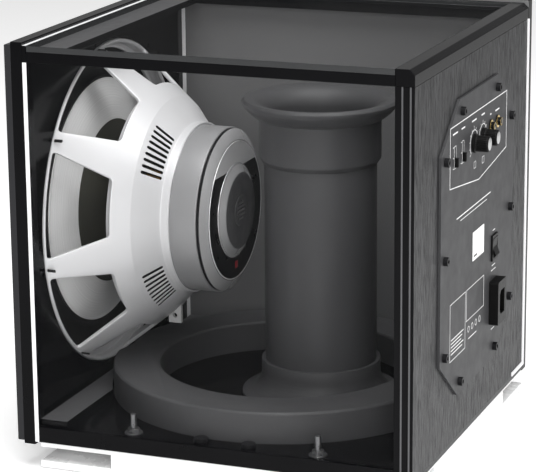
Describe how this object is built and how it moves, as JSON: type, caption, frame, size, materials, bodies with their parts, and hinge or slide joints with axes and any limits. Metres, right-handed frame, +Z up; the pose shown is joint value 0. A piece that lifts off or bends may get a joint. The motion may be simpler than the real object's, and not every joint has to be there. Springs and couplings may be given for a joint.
{
  "type": "subwoofer",
  "caption": "Powered subwoofer in a demonstration cabinet: clear side and top, rear-vented cone driver, down-firing flared port, slotted plinth and rear amplifier panel.",
  "frame": {"origin": "on the supporting surface, under the middle of the overall box", "axes": "+Z up, -Y the driver face, +Y the amplifier panel, +X the clear side"},
  "size_m": [0.406, 0.445, 0.4335],
  "materials": {
    "board_black": "high-gloss black lacquer on fibreboard",
    "front_satin": "satin charcoal lacquer",
    "bright_trim": "bright brushed aluminium strip",
    "black_ash": "black ash grain film with fine vertical pores",
    "clear_panel": "polished clear acrylic",
    "plinth_white": "white lacquer",
    "pad_rubber": "matt rubber",
    "bright_steel": "zinc-bright steel",
    "black_steel": "black oxide steel",
    "cast_silver": "silver-painted casting, fine cast texture",
    "surround_rubber": "matt butyl rubber",
    "cone_silver": "satin spun aluminium",
    "cone_dark": "pressed dark composite",
    "former_amber": "polyimide film",
    "winding_copper": "enamelled copper wire",
    "spider_cloth": "resin-dipped cotton, dark olive",
    "motor_steel": "turned and plated steel",
    "magnet_grey": "satin grey coated ferrite",
    "label_black": "satin black label stock",
    "mesh_steel": "perforated steel",
    "terminal_grey": "light grey moulded plastic",
    "port_plastic": "dark grey moulded plastic",
    "amp_paint": "fine-textured dark grey powder coat",
    "pcb_green": "solder mask",
    "transformer_yellow": "wound polyester tape",
    "sink_aluminium": "extruded aluminium",
    "capacitor_sleeve": "printed-free plastic sleeve",
    "control_black": "moulded black plastic",
    "shaft_steel": "turned steel",
    "jack_gold": "gold-plated brass",
    "pin_brass": "plated brass",
    "badge_white": "plain white plate"
  },
  "bodies": {
    "cabinet": {"amp_capacitors": "capacitor_sleeve", "amp_circuit_board": "pcb_green", "amp_heat_sink": "sink_aluminium", "amp_plate": "amp_paint", "amp_screws": "black_steel", "amp_transformer": "transformer_yellow", "amp_tray": "amp_paint", "badge_plate": "badge_white", "board_screws": "black_steel", "bottom_board": "board_black", "clear_side_panel": "clear_panel", "clear_top_panel": "clear_panel", "cleats": "board_black", "driver_basket": "cast_silver", "driver_gasket": "surround_rubber", "driver_screws": "black_steel", "driver_spider": "spider_cloth", "driver_surround": "surround_rubber", "far_side_board": "board_black", "floor_ring": "port_plastic", "foot_bolts": "bright_steel", "foot_nuts": "bright_steel", "foot_pads": "pad_rubber", "front_baffle": "board_black", "front_plate": "front_satin", "inlet_pins": "pin_brass", "mains_inlet": "control_black", "motor_back_plate": "motor_steel", "motor_label": "label_black", "motor_top_plate": "motor_steel", "plinth_base_plate": "plinth_white", "plinth_blocks": "plinth_white", "plinth_top_plate": "plinth_white", "pole_vent_mesh": "mesh_steel", "port_bottom_flare": "port_plastic", "port_top_flare": "port_plastic", "port_tube": "port_plastic", "potentiometers": "shaft_steel", "rear_board": "black_ash", "rear_trim_strips": "bright_trim", "ring_magnet": "magnet_grey", "rocker_bezel": "control_black", "signal_jacks": "jack_gold", "slide_switch_housings": "control_black", "terminal_block": "terminal_grey", "top_rail_rear": "board_black", "top_rails": "board_black", "trim_frame": "bright_trim"},
    "cone_assembly": {"driver_cone": "cone_silver", "cone_neck": "cone_dark", "dust_cap": "cone_dark", "voice_coil_former": "former_amber", "voice_coil_winding": "winding_copper"},
    "level_control": {"level_knob": "control_black", "level_shaft": "shaft_steel"},
    "crossover_control": {"crossover_knob": "control_black", "crossover_shaft": "shaft_steel"},
    "phase_slider": {"phase_switch_slider": "control_black"},
    "mode_slider": {"mode_switch_slider": "control_black"},
    "rocker": {"power_rocker": "control_black"}
  },
  "joints": [
    {"name": "cone_travel", "type": "slide", "parent": "cabinet", "child": "cone_assembly", "axis": [0, -1, 0], "range_m": [-0.009, 0.009], "stiffness_N_per_m": 4000, "deforming": ["driver_surround", "driver_spider"]},
    {"name": "level_turn", "type": "hinge", "parent": "cabinet", "child": "level_control", "pos_m": [0.0185, 0.206, 0.324], "axis": [0, 1, 0], "range_deg": [-150, 150]},
    {"name": "crossover_turn", "type": "hinge", "parent": "cabinet", "child": "crossover_control", "pos_m": [-0.0125, 0.206, 0.324], "axis": [0, 1, 0], "range_deg": [-150, 150]},
    {"name": "phase_slide", "type": "slide", "parent": "cabinet", "child": "phase_slider", "axis": [0, 0, 1], "range_m": [0, 0.01]},
    {"name": "mode_slide", "type": "slide", "parent": "cabinet", "child": "mode_slider", "axis": [0, 0, 1], "range_m": [0, 0.01]},
    {"name": "rocker_tip", "type": "hinge", "parent": "cabinet", "child": "rocker", "pos_m": [-0.058, 0.202, 0.1995], "axis": [1, 0, 0], "range_deg": [-16, 0]}
  ]
}
